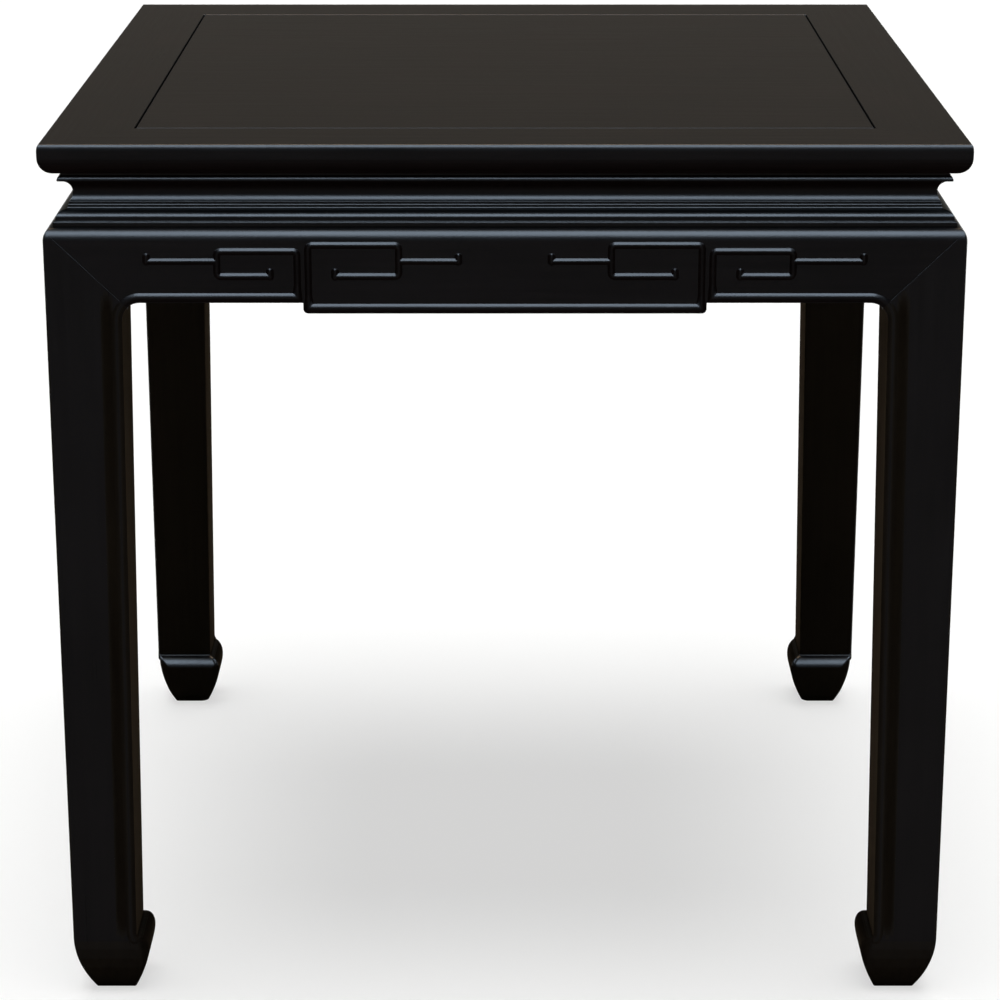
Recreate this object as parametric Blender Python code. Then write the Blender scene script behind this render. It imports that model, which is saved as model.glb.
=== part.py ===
"""Square waisted lamp table in black lacquered hardwood, as the separate pieces that a joiner makes.

Metres, +Z up, origin on the floor under the middle of the table, front towards -Y.
Every side piece is drawn as the front one and then turned to its side: x runs along the piece from its
middle, y is the inset from the outer edge of the top, z is the height above the floor.
A leg is drawn in the front left corner: x and y are its insets from the two outer edges of the top.
"""
import math

import bmesh
import bpy
from mathutils import Matrix

# Overall size, to the outer edges of the top
WIDTH = 0.5588
DEPTH = 0.5588
HEIGHT = 0.5588

# Gap left between mating faces
CLEARANCE = 0.0003

# Height of the raised beads and threads, which stand level with the edge of the top
RELIEF = 0.0012

# Rails of the top: an edge rounded a little above and more below, a recess under it and a small quarter round
RAIL_WIDTH = 0.0525
EDGE_UPPER_RUN = 0.0022
EDGE_UPPER_RISE = 0.0036
EDGE_FACE = 0.0044
EDGE_LOWER_RUN = 0.0098
EDGE_LOWER_RISE = 0.0112
RAIL_RECESS_RUN = 0.0022
RAIL_RECESS_RISE = 0.0028
RAIL_STEP_RUN = 0.0020
RAIL_STEP_RISE = 0.0026
MITRE_TENON_MARGIN = 0.0050

# Floating panel, tongued into the rails
PANEL_THICKNESS = 0.0110
PANEL_GAP = 0.0010
PANEL_EASING = 0.0006
PANEL_TONGUE_LENGTH = 0.0070
PANEL_TONGUE_THICKNESS = 0.0050
PANEL_EXPANSION = 0.0010

# Battens that slide into dovetail grooves under the panel
BATTEN_SPACING = 0.1800
BATTEN_WIDTH = 0.0300
BATTEN_DEPTH = 0.0125
BATTEN_TENON_LENGTH = 0.0100
DOVETAIL_DEPTH = 0.0040
DOVETAIL_NECK = 0.0140
DOVETAIL_FLARE = 0.0020

# Waist boards, set back under the top: a flat face, a cove, a lip and two fine beads
WAIST_SETBACK = 0.0083
WAIST_FACE = 0.0083
WAIST_COVE_RUN = 0.0023
WAIST_COVE_RISE = 0.0050
WAIST_LIP = 0.0013
WAIST_BEAD_RUN = 0.0005
WAIST_BEAD_RISE = 0.0010
WAIST_BEAD_GAP = 0.0008

# Ledge moulding between waist and apron: an ovolo, a lip, a small quarter round and a plain base
LEDGE_OVOLO_RUN = 0.0064
LEDGE_OVOLO_RISE = 0.0044
LEDGE_LIP = 0.0022
LEDGE_STEP_RUN = 0.0016
LEDGE_STEP_RISE = 0.0018
LEDGE_BASE = 0.0014

# Tongues that key rails, waist, ledge and aprons to each other
TONGUE_HEIGHT = 0.0030

# Aprons, flush with the legs, with a dropped centre
APRON_HEIGHT = 0.0454
APRON_THICKNESS = 0.0260
APRON_ROUND_RUN = 0.0050
APRON_ROUND_RISE = 0.0078
DROP_WIDTH = 0.2440
DROP_DEPTH = 0.0066
DROP_CORNER_RADIUS = 0.0030
INSIDE_CORNER_RADIUS = 0.0110

# Raised bead along the lower edges, raised thread of the key fret, and its short hooks
BEAD_WIDTH = 0.0060
BEAD_SETBACK = 0.0003
THREAD_WIDTH = 0.0044
THREAD_HOOK = 0.0042

# Rows of the fret, as shares of the apron's height below its top
FRET_ROW_DROP_TOP = 0.215
FRET_ROW_FLANK_TOP = 0.300
FRET_ROW_BRANCH = 0.435
FRET_ROW_LOWER = 0.640

# Columns of the fret, as shares of its field from the edge of the drop: hook, turn and end of the branch
FRET_FLANK_COLUMNS = (0.180, 0.470, 0.855)
FRET_DROP_COLUMNS = (0.160, 0.475, 0.770)

# Legs: square, tapered on the inner faces, with eased edges
LEG_WIDTH = 0.0462
LEG_TAPER = 0.0054
LEG_EDGE_EASING = 0.0014
LEG_INNER_EASING = 0.0005
LEG_INNER_CORNER = 0.0015
LEG_BEAD_END = 0.0335

# Leg joints: tenons into the rails, as shares of the leg's post, and the hanging key of each apron
LEG_TENON_HEIGHT = 0.0100
LEG_TENON_ALONG = (0.55, 0.95)
LEG_TENON_ACROSS = (0.10, 0.40)
KEY_DEPTH = 0.0080
KEY_FLARE = 0.0010
KEY_HEADROOM = 0.0080

# Hoof feet: a swelling on the inner faces under a ledge, rounded in plan, and a tuck towards the floor
HOOF_LEDGE_HEIGHT = 0.0400
HOOF_CROWN_HEIGHT = 0.0300
HOOF_SWELL = 0.0072
HOOF_TUCK = 0.0100
HOOF_TUCK_POWER = 1.5
HOOF_ROUND_RUN = 0.0040
HOOF_ROUND_DEPTH = 0.0090
HOOF_INNER_CORNER = 0.0060
FOOT_TUCK = 0.0122
FOOT_TUCK_HEIGHT = 0.0400
FOOT_TUCK_POWER = 1.9

# Finish, as linear colour and roughness: lacquer where it shows, bare wood underneath
LACQUER = (0.0065, 0.0055, 0.0055, 1.0)
LACQUER_ROUGHNESS = 0.32
BARE_WOOD = (0.030, 0.017, 0.011, 1.0)
BARE_WOOD_ROUGHNESS = 0.60

# Facets of a large and a small quarter round and of a leg's edge, and levels of the foot below its crown
ARC_STEPS = 6
SMALL_ARC_STEPS = 4
EDGE_STEPS = 3
FOOT_STEPS = 8
SMOOTH_ANGLE = math.radians(35)

# How far a cutter runs past what it cuts, and how deep a raised piece is rooted
OVERRUN = 0.0100
ROOT = 0.0010

# Section of a thread, as shares of its half width and of the relief
THREAD_SECTION = ((-1, 0.3), (-0.5, 1), (0.5, 1), (1, 0.3))

# Heights that follow from the sizes above
edge_bottom = HEIGHT - EDGE_UPPER_RISE - EDGE_FACE
rail_bottom = edge_bottom - EDGE_LOWER_RISE - RAIL_RECESS_RISE - RAIL_STEP_RISE
waist_bead_top = rail_bottom - WAIST_FACE - WAIST_COVE_RISE - WAIST_LIP
waist_bottom = waist_bead_top - WAIST_BEAD_RISE - WAIST_BEAD_GAP - WAIST_BEAD_RISE
apron_top = waist_bottom - LEDGE_OVOLO_RISE - LEDGE_LIP - LEDGE_STEP_RISE - LEDGE_BASE
flank_bottom = apron_top - APRON_HEIGHT
drop_bottom = flank_bottom - DROP_DEPTH
shoulder_bottom = flank_bottom - INSIDE_CORNER_RADIUS
panel_bottom = HEIGHT - PANEL_THICKNESS
panel_groove_bottom = panel_bottom - CLEARANCE

# Insets that follow from the sizes above
rail_recess_inset = EDGE_LOWER_RUN + RAIL_RECESS_RUN
waist_inset = rail_recess_inset - RAIL_STEP_RUN + WAIST_SETBACK
waist_lip_inset = waist_inset - WAIST_COVE_RUN
waist_foot_inset = waist_lip_inset - 2 * WAIST_BEAD_RUN
ledge_lip_inset = waist_foot_inset - LEDGE_OVOLO_RUN
apron_round_inset = RELIEF + APRON_ROUND_RUN
apron_back = RELIEF + APRON_THICKNESS
panel_groove_back = RAIL_WIDTH - PANEL_TONGUE_LENGTH - PANEL_EXPANSION
leg_inner = RELIEF + LEG_WIDTH
ankle = leg_inner - LEG_TAPER
post_inset = apron_back + CLEARANCE
post_width = leg_inner - post_inset
bead_offset = BEAD_WIDTH / 2 + BEAD_SETBACK


def arc(centre_x, centre_y, radius_x, radius_y, start, end, steps):
    """Points along an elliptical arc, from start to end in degrees."""
    points = []
    for i in range(steps + 1):
        angle = math.radians(start + (end - start) * i / steps)
        points.append((centre_x + radius_x * math.cos(angle), centre_y + radius_y * math.sin(angle)))
    return points


def cove(inset, top, run, rise, steps):
    """A hollow that leaves an upright face at its top and sweeps out by its run over its rise."""
    sweep = 2 * math.atan2(run, rise)
    radius = rise / math.sin(sweep)
    return arc(inset - radius, top, radius, radius, 0, -math.degrees(sweep), steps)


def middle_third(low, high):
    """The middle third of a span, where a joiner puts a tongue or a tenon."""
    third = (high - low) / 3
    return low + third, high - third


def grown(span, gap=CLEARANCE):
    """A span widened by a gap at both ends."""
    return span[0] - gap, span[1] + gap


def solid(name, vertices, faces):
    """A closed mesh object with its faces pointing out."""
    bm = bmesh.new()
    corners = [bm.verts.new(point) for point in vertices]
    for face in faces:
        bm.faces.new([corners[i] for i in face])
    bmesh.ops.recalc_face_normals(bm, faces=bm.faces)
    mesh = bpy.data.meshes.new(name)
    bm.to_mesh(mesh)
    bm.free()
    made = bpy.data.objects.new(name, mesh)
    bpy.context.collection.objects.link(made)
    return made


def loft(name, rings):
    """Rings of equally many points, joined in order and capped at both ends."""
    count = len(rings[0])
    vertices = [point for ring in rings for point in ring]
    faces = [range(count), range(len(vertices) - count, len(vertices))]
    for level in range(len(rings) - 1):
        for i in range(count):
            here = level * count + i
            beside = level * count + (i + 1) % count
            faces.append((here, beside, beside + count, here + count))
    return solid(name, vertices, faces)


def upright_prism(name, outline, y_span):
    """An outline in x and z, pushed through the thickness."""
    return loft(name, [[(x, y, z) for x, z in outline] for y in y_span])


def plan_prism(name, outline, z_span):
    """An outline in plan, raised between two heights."""
    return loft(name, [[(x, y, z) for x, y in outline] for z in z_span])


def box(name, x_span, y_span, z_span):
    """A block between three pairs of limits."""
    left, right = x_span
    near, far = y_span
    return plan_prism(name, [(left, near), (right, near), (right, far), (left, far)], z_span)


def mitred_bar(name, profile, length):
    """A moulding with a profile of insets and heights, mitred at both ends."""
    gap = CLEARANCE / math.sqrt(2)
    ends = (-1, 1)
    return loft(name, [[(end * (length / 2 - y - gap), y, z) for y, z in profile] for end in ends])


def thread(name, path, widths):
    """A raised thread on a front face, along a path in x and z, mitred where it turns."""
    runs = [math.atan2(b[1] - a[1], b[0] - a[0]) for a, b in zip(path, path[1:])]
    section = [(-1, -ROOT)] + [(side, share * RELIEF) for side, share in THREAD_SECTION] + [(1, -ROOT)]
    rings = []
    for i, (x, z) in enumerate(path):
        arriving = runs[max(i - 1, 0)]
        leaving = runs[min(i, len(runs) - 1)]
        turn = math.remainder(leaving - arriving, math.tau)
        across = arriving + turn / 2 + math.pi / 2
        spread = widths[i] / 2 / math.cos(turn / 2)
        dx = spread * math.cos(across)
        dz = spread * math.sin(across)
        rings.append([(x + side * dx, RELIEF - rise, z + side * dz) for side, rise in section])
    return loft(name, rings)


def combine(body, tool, operation):
    """Join, cut or trim a body with a tool, which is used up."""
    step = body.modifiers.new("combine", "BOOLEAN")
    step.operation = operation
    step.solver = "EXACT"
    step.object = tool
    bpy.context.view_layer.update()
    graph = bpy.context.evaluated_depsgraph_get()
    result = bpy.data.meshes.new_from_object(body.evaluated_get(graph))
    body.modifiers.clear()
    body.data = result
    bpy.data.objects.remove(tool)


def mirrored(made, matrix):
    """Mirror an object's mesh and keep its faces pointing out."""
    made.data.transform(matrix)
    made.data.flip_normals()
    return made


def to_other_face(made):
    """Move a leg's piece from its front face to its side face, across the corner's diagonal."""
    return mirrored(made, Matrix(((0, 1, 0, 0), (1, 0, 0, 0), (0, 0, 1, 0), (0, 0, 0, 1))))


def to_end(made, length, end):
    """Move a piece drawn in the front left corner to the left (-1) or right (1) end of a side piece."""
    made.data.transform(Matrix.Translation((-length / 2, 0, 0)))
    if end > 0:
        mirrored(made, Matrix.Diagonal((-1, 1, 1, 1)))
    return made


def mitre_half(name, above, y_span):
    """All that lies above or below the mitre between apron and leg, past half of the gap there.

    The mitre runs from the top of the apron, at the leg's outer edge, to the inside corner.
    """
    slope = APRON_HEIGHT / LEG_WIDTH
    gap = CLEARANCE / 2 * math.hypot(1, slope)
    far = HEIGHT if above else 0
    shift = -gap if above else gap
    ends = (-OVERRUN, leg_inner + INSIDE_CORNER_RADIUS + OVERRUN)
    line = [(x, apron_top - (x - RELIEF) * slope + shift) for x in ends]
    return upright_prism(name, line + [(ends[1], far), (ends[0], far)], y_span)


def tongue(front, back, interface):
    """Section of a tongue on top of a board, from its back to its front."""
    near, far = grown(middle_third(front, back), -CLEARANCE)
    base = interface - CLEARANCE
    crest = interface + TONGUE_HEIGHT
    return [(far, base), (far, crest), (near, crest), (near, base)]


def tongue_groove(front, back, interface):
    """Section of the groove that takes a tongue, from its front to its back."""
    near, far = middle_third(front, back)
    crest = interface + TONGUE_HEIGHT + CLEARANCE
    return [(near, interface), (near, crest), (far, crest), (far, interface)]


def rail_profile():
    """Rounded edge, recess, quarter round, waist groove and panel groove."""
    edge_top = HEIGHT - EDGE_UPPER_RISE
    panel_groove_top = panel_bottom + PANEL_TONGUE_THICKNESS + CLEARANCE
    points = arc(EDGE_UPPER_RUN, edge_top, EDGE_UPPER_RUN, EDGE_UPPER_RISE, 90, 180, ARC_STEPS)
    points += arc(EDGE_LOWER_RUN, edge_bottom, EDGE_LOWER_RUN, EDGE_LOWER_RISE, 180, 270, ARC_STEPS)
    points += [(rail_recess_inset, edge_bottom - EDGE_LOWER_RISE)]
    points += arc(rail_recess_inset, rail_bottom, RAIL_STEP_RUN, RAIL_STEP_RISE, 90, 180, SMALL_ARC_STEPS)
    points += tongue_groove(waist_inset, apron_back, rail_bottom)
    points += [(RAIL_WIDTH, rail_bottom), (RAIL_WIDTH, panel_groove_bottom)]
    points += [(panel_groove_back, panel_groove_bottom), (panel_groove_back, panel_groove_top)]
    points += [(RAIL_WIDTH, panel_groove_top), (RAIL_WIDTH, HEIGHT)]
    return points


def waist_profile():
    """Flat face, cove, lip and two fine beads, with a tongue above and a groove below."""
    points = [(waist_inset, rail_bottom - CLEARANCE)]
    points += cove(waist_inset, rail_bottom - WAIST_FACE, WAIST_COVE_RUN, WAIST_COVE_RISE, SMALL_ARC_STEPS)
    upper = waist_bead_top - WAIST_BEAD_RISE
    for inset, low in ((waist_lip_inset, upper), (waist_lip_inset - WAIST_BEAD_RUN, waist_bottom)):
        points += arc(inset, low, WAIST_BEAD_RUN, WAIST_BEAD_RISE, 90, 180, SMALL_ARC_STEPS)
    points += tongue_groove(waist_foot_inset, apron_back, waist_bottom)
    points += [(apron_back, waist_bottom), (apron_back, rail_bottom - CLEARANCE)]
    points += tongue(waist_inset, apron_back, rail_bottom)
    return points


def ledge_profile():
    """Ovolo, lip, quarter round and base, with a tongue above and a groove below."""
    top = waist_bottom - CLEARANCE
    ovolo_bottom = waist_bottom - LEDGE_OVOLO_RISE
    ovolo_rise = top - ovolo_bottom
    step_bottom = apron_top + LEDGE_BASE
    points = arc(waist_foot_inset, ovolo_bottom, LEDGE_OVOLO_RUN, ovolo_rise, 90, 180, ARC_STEPS)
    points += arc(ledge_lip_inset, step_bottom, LEDGE_STEP_RUN, LEDGE_STEP_RISE, 90, 180, SMALL_ARC_STEPS)
    points += [(ledge_lip_inset - LEDGE_STEP_RUN, apron_top)]
    points += tongue_groove(apron_round_inset, apron_back, apron_top)
    points += [(apron_back, apron_top), (apron_back, top)]
    points += tongue(waist_foot_inset, apron_back, waist_bottom)
    return points


def apron_profile():
    """Rounded upper edge and flat face, with a tongue above; the outline trims it below."""
    top = apron_top - CLEARANCE
    round_bottom = top - APRON_ROUND_RISE
    low = shoulder_bottom - DROP_DEPTH - OVERRUN
    points = arc(apron_round_inset, round_bottom, APRON_ROUND_RUN, APRON_ROUND_RISE, 90, 180, ARC_STEPS)
    points += [(RELIEF, low), (apron_back, low), (apron_back, top)]
    points += tongue(apron_round_inset, apron_back, apron_top)
    return points


def apron_outline(length):
    """Front view of an apron before its mitres: dropped centre and round inside corners."""
    crest = apron_top + TONGUE_HEIGHT + OVERRUN
    end = length / 2 + OVERRUN
    drop = DROP_WIDTH / 2
    inside = length / 2 - leg_inner
    radius = INSIDE_CORNER_RADIUS
    small = DROP_CORNER_RADIUS
    half = arc(drop - small, drop_bottom + small, small, small, 270, 360, SMALL_ARC_STEPS)
    half += [(drop, flank_bottom)]
    half += arc(inside - radius, flank_bottom - radius, radius, radius, 90, 0, ARC_STEPS)
    half += [(end, shoulder_bottom), (end, crest)]
    return half + [(-x, z) for x, z in reversed(half)]


def fret_row(share):
    """Height of a row of the fret."""
    return apron_top - share * APRON_HEIGHT


def key_fret(edge, field, columns, top, bottom):
    """Path of one key, from its bottom bead up beside the drop and round to its hook, and its branch.

    The field runs from the edge of the drop, outward on the flank and inward on the drop.
    """
    riser = edge + math.copysign(bead_offset, field)
    hook, turn, branch = [edge + share * field for share in columns]
    lower = fret_row(FRET_ROW_LOWER)
    middle = fret_row(FRET_ROW_BRANCH)
    path = [(riser, bottom), (riser, top), (turn, top)]
    path += [(turn, lower), (hook, lower), (hook, lower + THREAD_HOOK)]
    return path, [(turn, middle), (branch, middle), (branch, middle + THREAD_HOOK)]


def fret_threads(length):
    """All raised lines of an apron, each as a path with its widths."""
    drop = DROP_WIDTH / 2
    inside = length / 2 - leg_inner
    corner = inside - INSIDE_CORNER_RADIUS
    radius = INSIDE_CORNER_RADIUS + bead_offset
    flank_bead = flank_bottom + bead_offset
    drop_bead = drop_bottom + bead_offset
    sweep = arc(corner, shoulder_bottom, radius, radius, 0, 90, ARC_STEPS)
    flank_top = fret_row(FRET_ROW_FLANK_TOP)
    drop_top = fret_row(FRET_ROW_DROP_TOP)
    flank, flank_branch = key_fret(drop, inside - drop, FRET_FLANK_COLUMNS, flank_top, flank_bead)
    centre, centre_branch = key_fret(drop, -drop, FRET_DROP_COLUMNS, drop_top, drop_bead)
    lines = []
    for side in (-1, 1):
        for path, beaded in ((sweep + flank, len(sweep) + 1), (flank_branch, 0), (centre_branch, 0)):
            widths = [BEAD_WIDTH] * beaded + [THREAD_WIDTH] * (len(path) - beaded)
            lines.append(([(side * x, z) for x, z in path], widths))
    round_drop = [(-x, z) for x, z in reversed(centre)] + centre
    turns = [THREAD_WIDTH] * (len(centre) - 1)
    lines.append((round_drop, turns + [BEAD_WIDTH] * 2 + turns))
    return lines


def mitre_tenon_spans():
    """Reach from the end, inset and height of the tenon that joins two rails across their mitre."""
    inset = (rail_recess_inset + MITRE_TENON_MARGIN, panel_groove_back - MITRE_TENON_MARGIN)
    reach = (inset[0] - MITRE_TENON_MARGIN / 2, inset[1] + OVERRUN)
    return reach, inset, middle_third(rail_bottom + LEG_TENON_HEIGHT, HEIGHT)


def leg_tenon_spans():
    """Reach, inset and height of the leg's tenon into the rail in front of it."""
    along = tuple(post_inset + share * post_width for share in LEG_TENON_ALONG)
    across = tuple(post_inset + share * post_width for share in LEG_TENON_ACROSS)
    return along, across, (rail_bottom - CLEARANCE - ROOT, rail_bottom + LEG_TENON_HEIGHT)


def batten_tenon_spans():
    """Width about the batten's middle, and height, of a batten's tenon."""
    width = middle_third(-BATTEN_WIDTH / 2, BATTEN_WIDTH / 2)
    return width, middle_third(rail_bottom, panel_groove_bottom)


def make_rail(name, length, tenoned):
    """A top rail: front and back carry the mitre tenons and the battens, left and right the mortises."""
    rail = mitred_bar(name, rail_profile(), length)
    reach, inset, height = mitre_tenon_spans()
    along, across, leg_height = leg_tenon_spans()
    for end in (-1, 1):
        if tenoned:
            combine(rail, to_end(box("tenon", reach, inset, height), length, end), "UNION")
        else:
            mortise = box("mortise", grown(inset), grown(reach), grown(height))
            combine(rail, to_end(mortise, length, end), "DIFFERENCE")
        mortise = box("leg_mortise", grown(along), grown(across), grown(leg_height))
        combine(rail, to_end(mortise, length, end), "DIFFERENCE")
        if tenoned:
            width, batten_height = batten_tenon_spans()
            middle = end * BATTEN_SPACING / 2
            span = grown((middle + width[0], middle + width[1]))
            depth = (RAIL_WIDTH - BATTEN_TENON_LENGTH - CLEARANCE, RAIL_WIDTH + OVERRUN)
            combine(rail, box("batten_mortise", span, depth, grown(batten_height)), "DIFFERENCE")
    return rail


def make_panel(name):
    """The floating panel: tongue, flush face with eased edges, and two dovetail grooves underneath."""
    tongue_inset = RAIL_WIDTH - PANEL_TONGUE_LENGTH
    face_inset = RAIL_WIDTH + PANEL_GAP
    tongue_top = panel_bottom + PANEL_TONGUE_THICKNESS
    levels = [(tongue_inset, panel_bottom), (tongue_inset, tongue_top), (face_inset, tongue_top)]
    levels += [(face_inset, HEIGHT - PANEL_EASING), (face_inset + PANEL_EASING, HEIGHT)]
    rings = []
    for inset, z in levels:
        x = WIDTH / 2 - inset
        y = DEPTH / 2 - inset
        rings.append([(-x, -y, z), (x, -y, z), (x, y, z), (-x, y, z)])
    panel = loft(name, rings)
    for side in (-1, 1):
        outline = dovetail(side * BATTEN_SPACING / 2, CLEARANCE, panel_bottom - OVERRUN)
        combine(panel, upright_prism("groove", outline, (-DEPTH / 2, DEPTH / 2)), "DIFFERENCE")
    return panel


def dovetail(middle, gap, low):
    """Outline of a batten's dovetail, or of its groove with a gap, from height low up."""
    neck = DOVETAIL_NECK / 2 + gap
    head = neck + DOVETAIL_FLARE
    crest = panel_bottom + DOVETAIL_DEPTH + gap
    right = [(neck, low), (neck, panel_bottom - CLEARANCE), (head, crest)]
    return [(middle + x, z) for x, z in right] + [(middle - x, z) for x, z in reversed(right)]


def make_batten(name, middle):
    """A batten under the panel: body, dovetail along its top and a tenon at each end."""
    end = DEPTH / 2 - RAIL_WIDTH
    top = panel_bottom - CLEARANCE
    body_width = (middle - BATTEN_WIDTH / 2, middle + BATTEN_WIDTH / 2)
    batten = box(name, body_width, (CLEARANCE - end, end - CLEARANCE), (top - BATTEN_DEPTH, top))
    rib = upright_prism("rib", dovetail(middle, 0, top - ROOT), (CLEARANCE - end, end - CLEARANCE))
    combine(batten, rib, "UNION")
    width, height = batten_tenon_spans()
    for side in (-1, 1):
        ends = sorted((side * (end - OVERRUN), side * (end + BATTEN_TENON_LENGTH)))
        combine(batten, box("tenon", (middle + width[0], middle + width[1]), ends, height), "UNION")
    return batten


def key_outline(gap):
    """Plan of the dovetail key on a leg's post, or of its slot in the apron with a gap."""
    near, far = grown(middle_third(post_inset, leg_inner), gap)
    tip = apron_back - KEY_DEPTH - gap
    base = post_inset + ROOT
    return [(near, base), (far, base), (far + KEY_FLARE, tip), (near - KEY_FLARE, tip)]


def make_apron(name, length):
    """An apron: moulded bar with raised fret, trimmed to its outline, mitred to the legs and slotted."""
    apron = mitred_bar(name, apron_profile(), length)
    for path, widths in fret_threads(length):
        combine(apron, thread("thread", path, widths), "UNION")
    through = (-OVERRUN, apron_back + OVERRUN)
    combine(apron, upright_prism("outline", apron_outline(length), through), "INTERSECT")
    slot_top = apron_top - KEY_HEADROOM + CLEARANCE
    for end in (-1, 1):
        combine(apron, to_end(mitre_half("mitre", False, through), length, end), "DIFFERENCE")
        slot = plan_prism("slot", key_outline(CLEARANCE), (shoulder_bottom - OVERRUN, slot_top))
        combine(apron, to_end(slot, length, end), "DIFFERENCE")
    return apron


def foot_outer(z):
    """Outer inset of a foot at a height, tucked in towards the floor."""
    return RELIEF + FOOT_TUCK * max(0, 1 - z / FOOT_TUCK_HEIGHT) ** FOOT_TUCK_POWER


def leg_levels():
    """Heights of the leg from the floor up, each with its outer and inner inset."""
    levels = []
    for i in range(FOOT_STEPS + 1):
        z = HOOF_CROWN_HEIGHT * i / FOOT_STEPS
        inner = ankle + HOOF_SWELL - HOOF_TUCK * (1 - z / HOOF_CROWN_HEIGHT) ** HOOF_TUCK_POWER
        levels.append((z, foot_outer(z), inner))
    rise = HOOF_LEDGE_HEIGHT - HOOF_CROWN_HEIGHT
    for inner, z in arc(ankle, HOOF_CROWN_HEIGHT, HOOF_SWELL, rise, 0, 90, SMALL_ARC_STEPS)[1:]:
        levels.append((z, foot_outer(z), inner))
    levels.append((shoulder_bottom, RELIEF, leg_inner))
    start = apron_top - CLEARANCE - APRON_ROUND_RISE
    for outer, z in arc(apron_round_inset, start, APRON_ROUND_RUN, APRON_ROUND_RISE, 180, 90, ARC_STEPS):
        levels.append((z, outer, leg_inner))
    levels.append((rail_bottom - CLEARANCE, apron_round_inset, leg_inner))
    return levels


def leg_ring(z, outer, inner):
    """Square section of a leg, with edges that are eased on the column and round over on the hoof."""
    swell = min(1, max(0, 1 - (z - HOOF_CROWN_HEIGHT) / (HOOF_LEDGE_HEIGHT - HOOF_CROWN_HEIGHT)))
    run = LEG_INNER_EASING + (HOOF_ROUND_RUN - LEG_INNER_EASING) * swell
    if swell:
        run = max(run, inner - ankle + LEG_INNER_EASING)
    depth = LEG_INNER_EASING + (HOOF_ROUND_DEPTH - LEG_INNER_EASING) * math.sqrt(swell)
    corner = LEG_INNER_CORNER + (HOOF_INNER_CORNER - LEG_INNER_CORNER) * swell
    easing = LEG_EDGE_EASING
    ring = arc(outer + easing, outer + easing, easing, easing, 180, 270, EDGE_STEPS)
    ring += arc(inner - run, outer + depth, run, depth, 270, 360, EDGE_STEPS)
    ring += arc(inner - corner, inner - corner, corner, corner, 0, 90, EDGE_STEPS)
    ring += arc(outer + depth, inner - run, depth, run, 90, 180, EDGE_STEPS)
    return [(x, y, z) for x, y in ring]


def leg_haunch():
    """The leg's share of the round inside corner, before the mitre trims it."""
    radius = INSIDE_CORNER_RADIUS
    outline = arc(leg_inner + radius, flank_bottom - radius, radius, radius, 180, 90, ARC_STEPS)
    outline += [(leg_inner + radius, flank_bottom + ROOT), (leg_inner - OVERRUN, flank_bottom + ROOT)]
    outline += [(leg_inner - OVERRUN, shoulder_bottom)]
    return upright_prism("haunch", outline, (RELIEF, apron_back))


def leg_bead():
    """The bead down the inner edge of a leg's face, from the apron's mitre to the hoof."""
    radius = INSIDE_CORNER_RADIUS + bead_offset
    path = arc(leg_inner + INSIDE_CORNER_RADIUS, shoulder_bottom, radius, radius, 90, 180, ARC_STEPS)
    low = ankle - bead_offset
    path += [(low, HOOF_LEDGE_HEIGHT), (low, LEG_BEAD_END)]
    return thread("bead", path, [BEAD_WIDTH] * len(path))


def make_leg(name):
    """A leg: tapered column with hoof foot, mitred seats for two aprons, hanging keys and two tenons."""
    leg = loft(name, [leg_ring(*level) for level in leg_levels()])
    along, across, height = leg_tenon_spans()
    key_top = apron_top - KEY_HEADROOM
    both_faces = (lambda made: made, to_other_face)
    for turn in both_faces:
        combine(leg, turn(leg_haunch()), "UNION")
        combine(leg, turn(leg_bead()), "UNION")
    for turn in both_faces:
        combine(leg, turn(mitre_half("seat", True, (-OVERRUN, post_inset))), "DIFFERENCE")
    for turn in both_faces:
        combine(leg, turn(plan_prism("key", key_outline(0), (shoulder_bottom, key_top))), "UNION")
        combine(leg, turn(box("tenon", along, across, height)), "UNION")
    return leg


def finish(made, colour, roughness):
    """Give a piece its own material and smooth rounds."""
    material = bpy.data.materials.new(made.name)
    material.use_nodes = True
    shader = material.node_tree.nodes["Principled BSDF"]
    shader.inputs["Base Color"].default_value = colour
    shader.inputs["Roughness"].default_value = roughness
    shader.inputs["Metallic"].default_value = 0.0
    made.data.materials.clear()
    made.data.materials.append(material)
    made.data.shade_smooth()
    made.data.set_sharp_from_angle(angle=SMOOTH_ANGLE)


def place(made, parent, quarter_turns, x, y):
    """Turn a piece about the table's upright axis and set where its own origin lands."""
    made.parent = parent
    made.rotation_euler = (0, 0, quarter_turns * math.pi / 2)
    made.location = (x, y, 0)


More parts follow.
